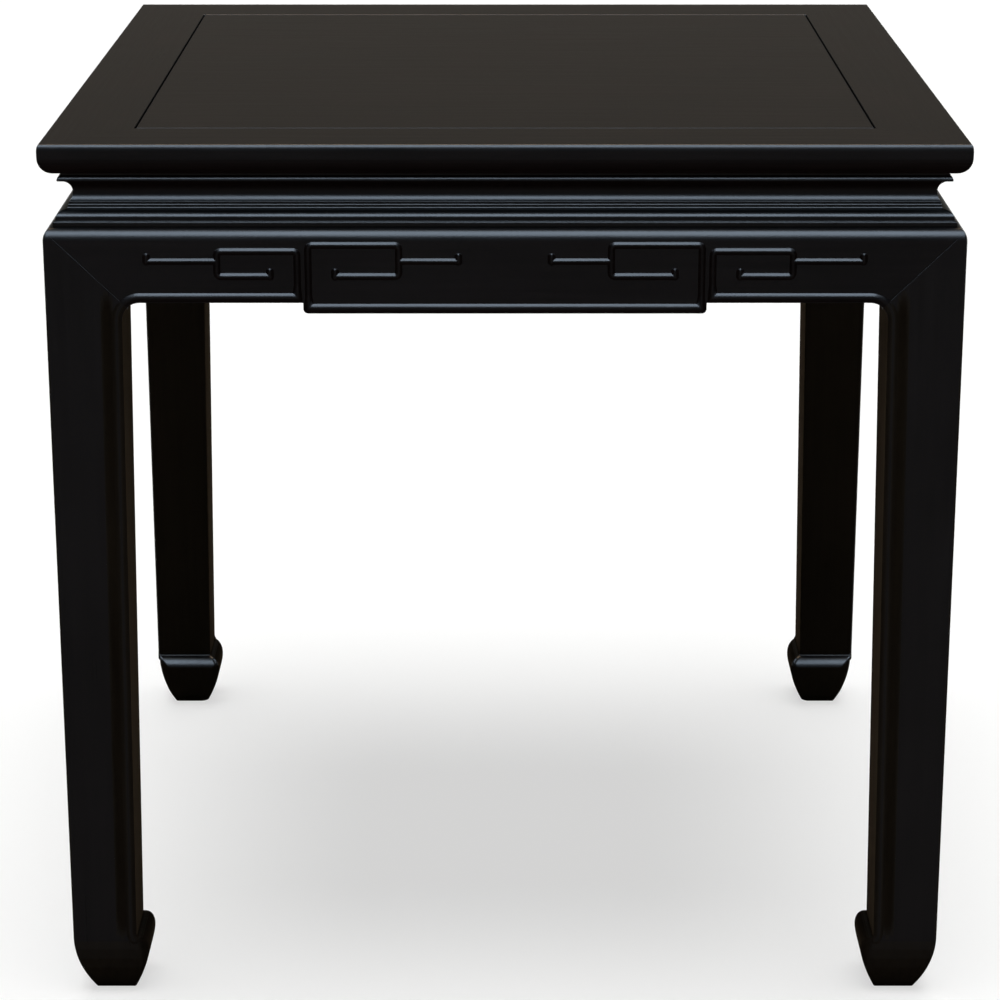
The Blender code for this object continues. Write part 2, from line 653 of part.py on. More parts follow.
def build():
    """Clear the scene and make every piece of the table."""
    for old in list(bpy.data.objects):
        bpy.data.objects.remove(old)
    table = bpy.data.objects.new("lamp_table", None)
    bpy.context.collection.objects.link(table)

    half_width = WIDTH / 2
    half_depth = DEPTH / 2
    sides = (("front", 0, WIDTH, 0, -half_depth), ("right", 1, DEPTH, half_width, 0),
             ("back", 2, WIDTH, 0, half_depth), ("left", 3, DEPTH, -half_width, 0))
    for side, turns, length, x, y in sides:
        pieces = [make_rail("top_rail_" + side, length, turns % 2 == 0),
                  mitred_bar("waist_" + side, waist_profile(), length),
                  mitred_bar("ledge_" + side, ledge_profile(), length),
                  make_apron("apron_" + side, length)]
        for piece in pieces:
            place(piece, table, turns, x, y)
            finish(piece, LACQUER, LACQUER_ROUGHNESS)

    corners = (("front_left", 0, -half_width, -half_depth), ("front_right", 1, half_width, -half_depth),
               ("back_right", 2, half_width, half_depth), ("back_left", 3, -half_width, half_depth))
    for corner, turns, x, y in corners:
        leg = make_leg("leg_" + corner)
        place(leg, table, turns, x, y)
        finish(leg, LACQUER, LACQUER_ROUGHNESS)

    panel = make_panel("top_panel")
    place(panel, table, 0, 0, 0)
    finish(panel, LACQUER, LACQUER_ROUGHNESS)
    for side, middle in (("left", -BATTEN_SPACING / 2), ("right", BATTEN_SPACING / 2)):
        batten = make_batten("panel_batten_" + side, middle)
        place(batten, table, 0, 0, 0)
        finish(batten, BARE_WOOD, BARE_WOOD_ROUGHNESS)


build()
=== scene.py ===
"""Looks of a square waisted lamp table in black lacquered hardwood.

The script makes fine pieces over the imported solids, their finish, the floor, the light and the camera.
Metres, +Z up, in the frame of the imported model, front towards -Y.
Every side piece is drawn as the front one and then turned to its side: x runs along the piece from its
middle, y is the inset from the outer edge of the top, z is the height above the floor.
A leg is drawn in the front left corner: x and y are its insets from the two outer edges of the top.
"""
import math

import bmesh
import bpy
from mathutils import Matrix, Vector


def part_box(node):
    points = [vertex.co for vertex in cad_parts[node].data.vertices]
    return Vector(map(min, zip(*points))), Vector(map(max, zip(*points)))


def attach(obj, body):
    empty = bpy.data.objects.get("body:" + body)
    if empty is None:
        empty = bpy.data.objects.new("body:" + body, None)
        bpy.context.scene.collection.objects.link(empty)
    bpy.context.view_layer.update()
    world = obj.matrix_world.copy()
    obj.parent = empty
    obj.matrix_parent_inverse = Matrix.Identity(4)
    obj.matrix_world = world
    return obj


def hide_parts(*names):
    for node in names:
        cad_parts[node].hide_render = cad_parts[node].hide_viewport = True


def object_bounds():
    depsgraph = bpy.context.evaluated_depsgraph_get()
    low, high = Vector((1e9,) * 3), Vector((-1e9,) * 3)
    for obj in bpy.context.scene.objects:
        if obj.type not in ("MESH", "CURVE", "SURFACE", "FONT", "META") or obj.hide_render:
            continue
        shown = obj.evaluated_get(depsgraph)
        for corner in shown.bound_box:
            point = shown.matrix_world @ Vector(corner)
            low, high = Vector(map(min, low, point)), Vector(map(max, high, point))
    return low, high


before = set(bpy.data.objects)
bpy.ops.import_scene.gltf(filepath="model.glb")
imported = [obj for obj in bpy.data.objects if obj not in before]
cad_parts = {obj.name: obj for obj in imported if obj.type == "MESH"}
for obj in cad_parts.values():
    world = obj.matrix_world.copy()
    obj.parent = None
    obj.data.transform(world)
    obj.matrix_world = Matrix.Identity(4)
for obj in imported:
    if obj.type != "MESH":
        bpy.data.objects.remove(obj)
cad_low, cad_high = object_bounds()

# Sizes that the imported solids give
LENGTH = cad_high.x - cad_low.x
HEIGHT = cad_high.z
rail_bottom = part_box("top_rail_front")[0].z
waist_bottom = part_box("waist_front")[0].z
apron_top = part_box("ledge_front")[0].z
panel_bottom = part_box("top_panel")[0].z
drop_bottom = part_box("apron_front")[0].z

# Height of the raised beads and threads, which stand level with the edge of the top
RELIEF = 0.0012

# Rails of the top: rounded edge, a recess and a small bead under it, and the groove for the panel
RAIL_WIDTH = 0.0525
EDGE_UPPER_RUN = 0.0016
EDGE_UPPER_RISE = 0.0044
EDGE_FACE = 0.0036
EDGE_LOWER_RUN = 0.0098
EDGE_LOWER_RISE = 0.0112
RAIL_RECESS_RUN = 0.0022
RAIL_BEAD_RUN = 0.0020
RAIL_BEAD_RISE = 0.0030
RAIL_BEAD_TUCK = 0.0006
PANEL_GROOVE_DEPTH = 0.0080
PANEL_GROOVE_HEIGHT = 0.0053

# Waist boards: a cove under the rail, a cove below, a lip and two fine beads
WAIST_SETBACK = 0.0083
WAIST_TOP_RUN = 0.0074
WAIST_TOP_RISE = 0.0072
WAIST_TOP_ANGLE = 75
WAIST_FACE = 0.0083
WAIST_COVE_RUN = 0.0023
WAIST_COVE_RISE = 0.0050
WAIST_LIP = 0.0013
WAIST_BEAD_RUN = 0.0005
WAIST_BEAD_RISE = 0.0010

# Ledge moulding: an ovolo, a lip, a small quarter round and a plain base
LEDGE_OVOLO_RUN = 0.0064
LEDGE_OVOLO_RISE = 0.0044
LEDGE_STEP_RUN = 0.0016
LEDGE_STEP_ROUND = 0.0005
LEDGE_LIP = 0.0022

# Aprons: rounded upper edge, dropped centre and round corners against the legs
APRON_HEIGHT = 0.0454
APRON_THICKNESS = 0.0260
APRON_ROUND_RUN = 0.0050
APRON_ROUND_RISE = 0.0078
DROP_WIDTH = 0.2440
DROP_CORNER_RADIUS = 0.0030
INSIDE_CORNER_RADIUS = 0.0110

# Raised bead along the lower edges and raised thread of the key fret, with lower branches and prouder knobs
BEAD_WIDTH = 0.0060
BEAD_SETBACK = 0.0003
THREAD_WIDTH = 0.0044
THREAD_HOOK = 0.0030
THREAD_BEND = 0.0025
BEAD_TAPER = 0.0080
KEY_SHARE = 0.96
BRANCH_SHARE = 0.91
KNOB_SHARE = 1.0
KNOB_WIDTH = 0.0048
RIDGE_FULLNESS = 0.5
RIDGE_STEPS = 14
DOME_STEPS = 6
DOME_ANGLE = 85

# Rows of the fret, as shares of the apron's height below its top
FRET_ROW_DROP_TOP = 0.215
FRET_ROW_FLANK_TOP = 0.300
FRET_ROW_BRANCH = 0.435
FRET_ROW_LOWER = 0.640

# Columns of the fret, as shares of its field from the edge of the drop: hook, turn and end of the branch
FRET_FLANK_COLUMNS = (0.180, 0.470, 0.855)
FRET_DROP_COLUMNS = (0.160, 0.475, 0.770)

# Legs: square, tapered on the inner faces, with a hollow beside the bead
LEG_WIDTH = 0.0462
LEG_TAPER = 0.0054
LEG_EDGE_EASING = 0.0014
LEG_INNER_EASING = 0.0005
LEG_INNER_CORNER = 0.0015
LEG_BEAD_CURL_TOP = 0.0460
LEG_BEAD_CURL = 0.0024
LEG_BEAD_CURL_ANGLE = 250
LEG_BEAD_END = 0.0385
HOLLOW_WIDTH = 0.0080
HOLLOW_DEPTH = 0.0008
HOLLOW_OVERLAP = 0.0012
HOLLOW_STEPS = 140
HOLLOW_FADE = 0.0130
HOLLOW_TOP = 0.4690
HOLLOW_END = 0.0390

# Hoof feet: a swelling on the inner faces under a ledge, rounded in plan, and a tuck towards the floor
HOOF_LEDGE_HEIGHT = 0.0400
HOOF_CROWN_HEIGHT = 0.0300
HOOF_SWELL = 0.0072
HOOF_TUCK = 0.0100
HOOF_TUCK_POWER = 1.5
HOOF_CROWN_ANGLE = 80
HOOF_ROUND_DEPTH = 0.0090
HOOF_ROUND_RUN = 0.0040
HOOF_ROUND_SOLE = 0.3
HOOF_INNER_CORNER = 0.0060
FOOT_TUCK = 0.0122
FOOT_TUCK_HEIGHT = 0.0400
FOOT_TUCK_POWER = 1.9

# Lacquer: colours of its dark and light grain, the grain along a piece, its gloss and its surface
LACQUER_TINTS = ((0.0017, 0.0010, 0.0010), (0.0036, 0.0022, 0.0020))
LACQUER_IOR = 1.14
LACQUER_ROUGHNESS = (0.27, 0.35)
ROUGHNESS_GRAIN = (0.3, 0.7)
GRAIN_LENGTHWISE = (9.0, 260.0, 260.0)
GRAIN_STANDING = (260.0, 260.0, 9.0)
GRAIN_RANGE = (0.30, 0.72)
GRAIN_SHIFT = 3.7
FIBRE_SHARE = 0.6
CLOUD_SHARE = 0.4
CLOUD_SCALE = 14.0
SKIN_SCALE = 420.0
SKIN_BUMP = (0.06, 0.0004)
PORE_BUMP = (0.08, 0.0006)
BAR_GLOSS = 0.36
LEG_GLOSS = 0.42
LEG_GRAZING_SPREAD = 0.4
GRAZING_RANGE = (0.70, 0.97)

# Painted shade and painted sheen on the lacquer: warmer colours for faces that turn away, a painted brown
# sheen, the grades of falling gloss that paint shade on them, and how far a face turns away before it is
# fully in painted shade
SHADE_AND_SHEEN_TINTS = ((0.0045, 0.0034, 0.0024), (0.0075, 0.0058, 0.0040))
PAINTED_SHEEN_TINT = (0.80, 0.58, 0.38, 1)
PAINTED_SHEEN_ROUGHNESS = 0.3
LEG_PAINTED_SHEEN = 0.05
SHADE_GRADES = 4
SHADE_GLOSS_FALL = 1.6
SHADE_TURN = 0.7
SHADE_TUCK = 2.6

# Back legs whose one ledge that looks forward keeps full gloss while their other ledges stay in painted
# shade, and the axis, in the leg's own frame, along which that ledge looks forward
LIT_LEDGES = {"back_right": 1, "back_left": 0}
LEDGE_FACING = 0.2

# Bare wood of the battens
WOOD_TINTS = ((0.014, 0.0075, 0.005), (0.046, 0.027, 0.017))
WOOD_GRAIN = (240.0, 14.0, 240.0)
WOOD_RANGE = (0.32, 0.70)
WOOD_ROUGHNESS = (0.52, 0.72)
WOOD_BUMP = (0.3, 0.0008)

# Floor: half its width, its place under the feet, where it fades, its colours and the share that glows
FLOOR_REACH = 60.0
FLOOR_DROP = 0.0003
FLOOR_FADE = (5.0, 16.0)
FLOOR_COLOUR = (0.86, 0.86, 0.85, 1)
FAR_FLOOR_COLOUR = (0.30, 0.29, 0.27, 1)
WHITE = (1, 1, 1, 1)
HORIZON_COLOUR = (0.34, 0.33, 0.32, 1)
GLOW_SHARE = 0.63

# Lamps: energy, tint, angular width, tilt from overhead, and turn from the front, in degrees
SOFTBOX_TINT = (0.66, 0.82, 1.0)
BACK_TINT = (1.0, 0.74, 0.50)
OVERHEAD = (3.9, (1, 1, 1), 44, -1, 0)
SOFTBOXES = ((38, SOFTBOX_TINT, 44, 43, 0), (24, SOFTBOX_TINT, 40, 43, 90),
             (7.5, BACK_TINT, 24, 28, 180), (24, SOFTBOX_TINT, 40, 43, 270))

# Light of the room by height, from the horizon up
ROOM_STOPS = ((0.0, HORIZON_COLOUR), (0.12, (0.203, 0.193, 0.164, 1)), (0.30, (0.112, 0.106, 0.090, 1)))

# Camera: lens and sensor in millimetres, shifts, distance from the table's front, height and downward pitch
SENSOR_WIDTH = 36.0
LENS = 110.41
SHIFT_X = -0.005
SHIFT_Y = -0.0475
CAMERA_DISTANCE = 1.8001
CAMERA_HEIGHT = 0.9125
CAMERA_PITCH = 16.845

# Softening of sharp corners under the lacquer, and the fine seams between pieces
CORNER_SOFTENING = 0.0005
CORNER_STEPS = 6
CORNER_ANGLE = math.radians(25)
CORNER_REACH = 0.45
MOULDING_GAP = 0.00003
SEAM_GAP = 0.00006
SEAM_CHAMFER = 0.00013

# Facets of the rounds, shading, and the overlap of cutters and ridges
ARC_STEPS = 16
SMALL_ARC_STEPS = 8
FOOT_STEPS = 28
SMOOTH_ANGLE = math.radians(38)
OVERRUN = 0.0100
ROOT = 0.0010
TOE = 0.02
MERGE = 0.000002

# Heights and insets that follow from the sizes above
rail_recess_inset = EDGE_LOWER_RUN + RAIL_RECESS_RUN
waist_inset = rail_recess_inset - RAIL_BEAD_RUN + WAIST_SETBACK
waist_lip_inset = waist_inset - WAIST_COVE_RUN
waist_foot_inset = waist_lip_inset - 2 * WAIST_BEAD_RUN
ledge_lip_inset = waist_foot_inset - LEDGE_OVOLO_RUN
apron_round_inset = RELIEF + APRON_ROUND_RUN
apron_back = RELIEF + APRON_THICKNESS
flank_bottom = apron_top - APRON_HEIGHT
shoulder_bottom = flank_bottom - INSIDE_CORNER_RADIUS
leg_inner = RELIEF + LEG_WIDTH
ankle = leg_inner - LEG_TAPER
post_inset = apron_back + SEAM_GAP
bead_offset = BEAD_WIDTH / 2 + BEAD_SETBACK
mitre_ends = (-OVERRUN, leg_inner + INSIDE_CORNER_RADIUS + OVERRUN)
ridge_sides = [2 * i / RIDGE_STEPS - 1 for i in range(RIDGE_STEPS + 1)]


def arc(centre_x, centre_y, radius_x, radius_y, start, end, steps):
    """Points along an elliptical arc, from start to end in degrees."""
    points = []
    for i in range(steps + 1):
        angle = math.radians(start + (end - start) * i / steps)
        points.append((centre_x + radius_x * math.cos(angle), centre_y + radius_y * math.sin(angle)))
    return points


def cove(inset, top, run, rise):
    """A hollow that leaves an upright face at its top and sweeps out by its run over its rise."""
    turn = 2 * math.atan2(run, rise)
    radius = rise / math.sin(turn)
    return arc(inset - radius, top, radius, radius, 0, -math.degrees(turn), ARC_STEPS)


def bend(before, corner, after, radius):
    """A corner between two straight runs as an arc, no longer than the runs allow."""
    arriving = corner - before
    leaving = after - corner
    turn = -arriving.angle_signed(leaving, 0)
    slack = abs(math.tan(turn / 2))
    reach = min(radius * slack, arriving.length * CORNER_REACH, leaving.length * CORNER_REACH)
    start = corner - arriving.normalized() * reach
    inward = Vector((-arriving.y, arriving.x)).normalized() * math.copysign(reach / slack, turn)
    points = []
    for i in range(CORNER_STEPS + 1):
        spoke = -inward
        spoke.rotate(Matrix.Rotation(turn * i / CORNER_STEPS, 2))
        points.append(start + inward + spoke)
    return points


def soften(outline, radius=CORNER_SOFTENING):
    """A closed outline with its sharp corners rounded."""
    points = [Vector(point) for point in outline]
    softened = []
    for i, corner in enumerate(points):
        before = points[i - 1]
        after = points[(i + 1) % len(points)]
        if (corner - before).angle(after - corner, 0) > CORNER_ANGLE:
            softened += bend(before, corner, after, radius)
        else:
            softened.append(corner)
    return [tuple(point) for point in softened]


def rounded_path(path, widths, radius):
    """A path with its thread corners rounded; corners as wide as a bead stay mitred."""
    points = [Vector(point) for point in path]
    smooth = [(points[0], widths[0])]
    for i in range(1, len(points) - 1):
        turn = (points[i] - points[i - 1]).angle(points[i + 1] - points[i], 0)
        if turn > CORNER_ANGLE and widths[i] < BEAD_WIDTH:
            smooth += [(point, widths[i]) for point in bend(points[i - 1], points[i], points[i + 1], radius)]
        else:
            smooth.append((points[i], widths[i]))
    return smooth + [(points[-1], widths[-1])]


def linked(name, data):
    """A new object in the scene."""
    made = bpy.data.objects.new(name, data)
    bpy.context.scene.collection.objects.link(made)
    return made


def solid(name, vertices, faces):
    """A closed mesh object with its faces pointing out."""
    bm = bmesh.new()
    corners = [bm.verts.new(point) for point in vertices]
    for face in faces:
        bm.faces.new([corners[i] for i in face])
    bmesh.ops.recalc_face_normals(bm, faces=bm.faces)
    mesh = bpy.data.meshes.new(name)
    bm.to_mesh(mesh)
    bm.free()
    return linked(name, mesh)


def loft(name, rings):
    """Rings of equally many points, joined in order and capped at both ends."""
    count = len(rings[0])
    vertices = [point for ring in rings for point in ring]
    faces = [range(count), range(len(vertices) - count, len(vertices))]
    for level in range(len(rings) - 1):
        for i in range(count):
            here = level * count + i
            beside = level * count + (i + 1) % count
            faces.append((here, beside, beside + count, here + count))
    return solid(name, vertices, faces)


def upright_prism(name, outline, y_span):
    """An outline in x and z, pushed through the thickness."""
    return loft(name, [[(x, y, z) for x, z in outline] for y in y_span])


def mitred_bar(name, profile):
    """A moulding with a profile of insets and heights, mitred at both ends."""
    ends = (-1, 1)
    return loft(name, [[(end * (LENGTH / 2 - y - MOULDING_GAP), y, z) for y, z in profile] for end in ends])


def bell(share):
    """Height of a ridge across its width, from its toe at -1 over its crest at 0 to its toe at 1."""
    return (0.5 + 0.5 * math.cos(math.pi * share)) ** RIDGE_FULLNESS - TOE


def sweep(name, path, section):
    """A section swept along a path of points, widths and height shares on a front face."""
    runs = [b[0] - a[0] for a, b in zip(path, path[1:])]
    rings = []
    for i, (point, width, rise) in enumerate(path):
        arriving = runs[max(i - 1, 0)].normalized()
        leaving = runs[min(i, len(runs) - 1)].normalized()
        along = (arriving + leaving).normalized()
        across = Vector((-along.y, along.x)) * (width / 2 / along.dot(leaving))
        ring = []
        for side, height in section(rise):
            place = point + across * side
            ring.append((place.x, RELIEF - height, place.y))
        rings.append(ring)
    return loft(name, rings)


def ridge_section(rise):
    """Section of a raised ridge, rooted in the face: shares across and heights."""
    root = -ROOT * rise
    crest = [(side, RELIEF * rise * bell(side)) for side in ridge_sides]
    return [(-1, root)] + crest + [(1, root)]


def hollow_section(rise):
    """Section of a cutter for a shallow hollow, open to the front: shares across and heights."""
    bed = [(side, -HOLLOW_DEPTH * rise * bell(side)) for side in ridge_sides]
    return [(-1, OVERRUN)] + bed + [(1, OVERRUN)]


def dome(stations):
    """Stations that close the far end of a ridge with a dome."""
    last, width, rise = stations[-1]
    forward = (last - stations[-2][0]).normalized()
    closing = []
    for i in range(1, DOME_STEPS + 1):
        angle = math.radians(DOME_ANGLE) * i / DOME_STEPS
        scale = math.cos(angle)
        closing.append((last + forward * math.sin(angle) * width / 2, width * scale, rise * scale))
    return closing


def ridge(name, path, widths, rise, domed_start=True):
    """A raised ridge along a path in x and z, domed at its end and, where it starts free, at its start."""
    stations = [(point, width, rise) for point, width in rounded_path(path, widths, THREAD_BEND)]
    closing = dome(stations)
    if domed_start:
        stations = dome(stations[::-1])[::-1] + stations
    return sweep(name, stations + closing, ridge_section)


def merge_close(mesh):
    """Merge points that a cut left within a hair of each other, and drop faces without area."""
    bm = bmesh.new()
    bm.from_mesh(mesh)
    bmesh.ops.remove_doubles(bm, verts=bm.verts, dist=MERGE)
    bmesh.ops.dissolve_degenerate(bm, edges=bm.edges, dist=MERGE)
    bm.to_mesh(mesh)
    bm.free()


def combine(body, tool, operation):
    """Join, cut or trim a body with a tool, which is used up."""
    step = body.modifiers.new("combine", "BOOLEAN")
    step.operation = operation
    step.solver = "EXACT"
    step.object = tool
    bpy.context.view_layer.update()
    graph = bpy.context.evaluated_depsgraph_get()
    result = bpy.data.meshes.new_from_object(body.evaluated_get(graph))
    body.modifiers.clear()
    merge_close(result)
    body.data = result
    bpy.data.objects.remove(tool)


def mirrored(made, matrix):
    """Mirror an object's mesh and keep its faces pointing out."""
    made.data.transform(matrix)
    made.data.flip_normals()
    return made


def to_other_face(made):
    """Move a leg's piece from its front face to its side face, across the corner's diagonal."""
    return mirrored(made, Matrix(((0, 1, 0, 0), (1, 0, 0, 0), (0, 0, 1, 0), (0, 0, 0, 1))))


def to_end(made, end):
    """Move a piece drawn in the front left corner to the left (-1) or right (1) end of a side piece."""
    made.data.transform(Matrix.Translation((-LENGTH / 2, 0, 0)))
    if end > 0:
        mirrored(made, Matrix.Diagonal((-1, 1, 1, 1)))
    return made


def mitre_line(x):
    """Height of the mitre between apron and leg, from the leg's outer edge to the inside corner."""
    return apron_top - (x - RELIEF) * APRON_HEIGHT / LEG_WIDTH


def mitre_half(name, above, y_span):
    """All that lies above or below the mitre, past half of the seam there."""
    gap = SEAM_GAP / 2 * math.hypot(1, APRON_HEIGHT / LEG_WIDTH)
    far = HEIGHT if above else 0
    shift = -gap if above else gap
    line = [(x, mitre_line(x) + shift) for x in mitre_ends]
    return upright_prism(name, line + [(x, far) for x in reversed(mitre_ends)], y_span)


def seam_chamfer():
    """A square bar on edge along the mitre's face, which eases both sides of the seam."""
    across = Vector((APRON_HEIGHT, LEG_WIDTH)).normalized() * SEAM_CHAMFER
    rings = []
    for x in mitre_ends:
        z = mitre_line(x)
        rings.append([(x + across.x, RELIEF, z + across.y), (x, RELIEF + SEAM_CHAMFER, z),
                      (x - across.x, RELIEF, z - across.y), (x, RELIEF - SEAM_CHAMFER, z)])
    return loft("seam", rings)


def rail_profile():
    """Rounded edge, recess, small bead and panel groove."""
    edge_top = HEIGHT - EDGE_UPPER_RISE
    edge_bottom = edge_top - EDGE_FACE
    groove_bottom = panel_bottom - CORNER_SOFTENING
    groove_back = RAIL_WIDTH - PANEL_GROOVE_DEPTH
    groove_top = groove_bottom + PANEL_GROOVE_HEIGHT + CORNER_SOFTENING
    bead_middle = rail_bottom + RAIL_BEAD_TUCK
    points = arc(EDGE_UPPER_RUN, edge_top, EDGE_UPPER_RUN, EDGE_UPPER_RISE, 90, 180, ARC_STEPS)
    points += arc(EDGE_LOWER_RUN, edge_bottom, EDGE_LOWER_RUN, EDGE_LOWER_RISE, 180, 270, ARC_STEPS)
    points += [(rail_recess_inset, edge_bottom - EDGE_LOWER_RISE)]
    run = RAIL_BEAD_RUN
    points += arc(rail_recess_inset, bead_middle, run, RAIL_BEAD_RISE, 90, 180, SMALL_ARC_STEPS)
    points += arc(rail_recess_inset, bead_middle, run, RAIL_BEAD_TUCK, 180, 270, SMALL_ARC_STEPS)[1:]
    points += [(RAIL_WIDTH, rail_bottom), (RAIL_WIDTH, groove_bottom)]
    points += [(groove_back, groove_bottom), (groove_back, groove_top)]
    points += [(RAIL_WIDTH, groove_top), (RAIL_WIDTH, HEIGHT)]
    return points


def waist_profile():
    """Cove under the rail, lower cove, lip and two fine beads."""
    cove_top = rail_bottom - WAIST_FACE
    bead_bottom = cove_top - WAIST_COVE_RISE - WAIST_LIP - WAIST_BEAD_RISE
    run = WAIST_TOP_RUN
    rise = WAIST_TOP_RISE
    upper = arc(waist_inset - run, rail_bottom - rise, run, rise, WAIST_TOP_ANGLE, 0, ARC_STEPS)
    points = [(upper[0][0], rail_bottom)] + upper
    points += cove(waist_inset, cove_top, WAIST_COVE_RUN, WAIST_COVE_RISE)
    for inset, low in ((waist_lip_inset, bead_bottom), (waist_lip_inset - WAIST_BEAD_RUN, waist_bottom)):
        points += arc(inset, low, WAIST_BEAD_RUN, WAIST_BEAD_RISE, 90, 180, SMALL_ARC_STEPS)
    return points + [(apron_back, waist_bottom), (apron_back, rail_bottom)]


def ledge_profile():
    """Ovolo, lip, quarter round and base."""
    ovolo_bottom = waist_bottom - LEDGE_OVOLO_RISE
    step_top = ovolo_bottom - LEDGE_LIP
    step_face = ledge_lip_inset - LEDGE_STEP_RUN
    small = LEDGE_STEP_ROUND
    points = arc(waist_foot_inset, ovolo_bottom, LEDGE_OVOLO_RUN, LEDGE_OVOLO_RISE, 90, 180, ARC_STEPS)
    points += [(ledge_lip_inset, step_top)]
    points += arc(step_face + small, step_top - small, small, small, 90, 180, SMALL_ARC_STEPS)
    points += [(step_face, apron_top)]
    return points + [(apron_back, apron_top), (apron_back, waist_bottom)]


def apron_profile():
    """Rounded upper edge and flat face; the outline trims it below."""
    round_bottom = apron_top - APRON_ROUND_RISE
    low = shoulder_bottom - OVERRUN
    points = arc(apron_round_inset, round_bottom, APRON_ROUND_RUN, APRON_ROUND_RISE, 90, 180, ARC_STEPS)
    return points + [(RELIEF, low), (apron_back, low), (apron_back, apron_top)]


def apron_outline():
    """Front view of an apron before its mitres: dropped centre and round inside corners."""
    crest = apron_top + OVERRUN
    end = LENGTH / 2 + OVERRUN
    drop = DROP_WIDTH / 2
    inside = LENGTH / 2 - leg_inner
    radius = INSIDE_CORNER_RADIUS
    small = DROP_CORNER_RADIUS
    half = arc(drop - small, drop_bottom + small, small, small, 270, 360, SMALL_ARC_STEPS)
    half += [(drop, flank_bottom)]
    half += arc(inside - radius, flank_bottom - radius, radius, radius, 90, 0, ARC_STEPS)
    half += [(end, shoulder_bottom), (end, crest)]
    return half + [(-x, z) for x, z in reversed(half)]


def fret_row(share):
    """Height of a row of the fret."""
    return apron_top - share * APRON_HEIGHT


def key_fret(edge, field, columns, top, bottom):
    """Paths of one key, from its bottom bead up beside the drop to its hook, of its branch and of its knobs.

    The field runs from the edge of the drop, outward on the flank and inward on the drop.
    """
    riser = edge + math.copysign(bead_offset, field)
    hook, turn, branch = [edge + share * field for share in columns]
    lower = fret_row(FRET_ROW_LOWER)
    middle = fret_row(FRET_ROW_BRANCH)
    key = [(riser, bottom), (riser, bottom + BEAD_TAPER), (riser, top)]
    key += [(turn, top), (turn, lower), (hook, lower)]
    knobs = [[(x, z), (x, z + THREAD_HOOK)] for x, z in ((hook, lower), (branch, middle))]
    return key, [(turn, middle), (branch, middle)], knobs


def fret_ridges():
    """All raised lines of an apron, longest first."""
    drop = DROP_WIDTH / 2
    inside = LENGTH / 2 - leg_inner
    corner = inside - INSIDE_CORNER_RADIUS
    radius = INSIDE_CORNER_RADIUS + bead_offset
    flank_bead = flank_bottom + bead_offset
    drop_bead = drop_bottom + bead_offset
    bead = arc(corner, shoulder_bottom, radius, radius, 0, 90, ARC_STEPS)
    flank_top = fret_row(FRET_ROW_FLANK_TOP)
    drop_top = fret_row(FRET_ROW_DROP_TOP)
    flank, flank_branch, flank_knobs = key_fret(
        drop, inside - drop, FRET_FLANK_COLUMNS, flank_top, flank_bead)
    centre, centre_branch, centre_knobs = key_fret(
        drop, -drop, FRET_DROP_COLUMNS, drop_top, drop_bead)
    turns = [THREAD_WIDTH] * (len(centre) - 1)
    round_drop = [(-x, z) for x, z in reversed(centre)] + centre
    ridges = [ridge("drop_key", round_drop, turns + [BEAD_WIDTH] * 2 + turns, KEY_SHARE)]
    for side in (-1, 1):
        widths = [BEAD_WIDTH] * (len(bead) + 1) + turns
        ridges.append(ridge("flank_key", [(side * x, z) for x, z in bead + flank], widths, KEY_SHARE, False))
        for branch in (flank_branch, centre_branch):
            widths = [THREAD_WIDTH * BRANCH_SHARE] * 2
            ridges.append(ridge("branch", [(side * x, z) for x, z in branch], widths, BRANCH_SHARE))
        for knob in flank_knobs + centre_knobs:
            ridges.append(ridge("knob", [(side * x, z) for x, z in knob], [KNOB_WIDTH] * 2, KNOB_SHARE))
    return ridges


def make_apron(name):
    """An apron: moulded bar with raised fret, trimmed to its outline and mitred to the legs."""
    apron = mitred_bar(name, soften(apron_profile()))
    for raised in fret_ridges():
        combine(apron, raised, "UNION")
    through = (-OVERRUN, apron_back + OVERRUN)
    combine(apron, upright_prism("outline", apron_outline(), through), "INTERSECT")
    for end in (-1, 1):
        combine(apron, to_end(mitre_half("mitre", False, through), end), "DIFFERENCE")
        combine(apron, to_end(seam_chamfer(), end), "DIFFERENCE")
    return apron


def foot_outer(z):
    """Outer inset of a foot at a height, tucked in towards the floor."""
    return RELIEF + FOOT_TUCK * max(0, 1 - z / FOOT_TUCK_HEIGHT) ** FOOT_TUCK_POWER


def hoof_levels():
    """Heights of the foot from the floor up, each with its outer and inner inset."""
    levels = []
    for i in range(FOOT_STEPS + 1):
        z = HOOF_CROWN_HEIGHT * i / FOOT_STEPS
        inner = ankle + HOOF_SWELL - HOOF_TUCK * (1 - z / HOOF_CROWN_HEIGHT) ** HOOF_TUCK_POWER
        levels.append((z, foot_outer(z), inner))
    rise = HOOF_LEDGE_HEIGHT - HOOF_CROWN_HEIGHT
    crown = arc(ankle, HOOF_CROWN_HEIGHT, HOOF_SWELL, rise, 0, HOOF_CROWN_ANGLE, ARC_STEPS)
    levels += [(z, foot_outer(z), inner) for inner, z in crown[1:]]
    lip, lip_z = crown[-1]
    crown_angle = math.radians(HOOF_CROWN_ANGLE)
    slope = math.degrees(math.atan2(HOOF_SWELL * math.sin(crown_angle), rise * math.cos(crown_angle)))
    radius = (lip - ankle) / (1 - math.cos(math.radians(slope)))
    fillet_top = lip_z + radius * math.sin(math.radians(slope))
    fillet = arc(ankle + radius, fillet_top, radius, radius, 180 + slope, 180, SMALL_ARC_STEPS)
    return levels + [(z, foot_outer(z), inner) for inner, z in fillet[1:]]


def leg_levels():
    """Heights of the whole leg from the floor up, each with its outer and inner inset."""
    levels = hoof_levels()
    levels.append((shoulder_bottom, RELIEF, leg_inner))
    start = apron_top - APRON_ROUND_RISE
    for outer, z in arc(apron_round_inset, start, APRON_ROUND_RUN, APRON_ROUND_RISE, 180, 90, ARC_STEPS):
        levels.append((z, outer, leg_inner))
    levels.append((rail_bottom, apron_round_inset, leg_inner))
    return levels


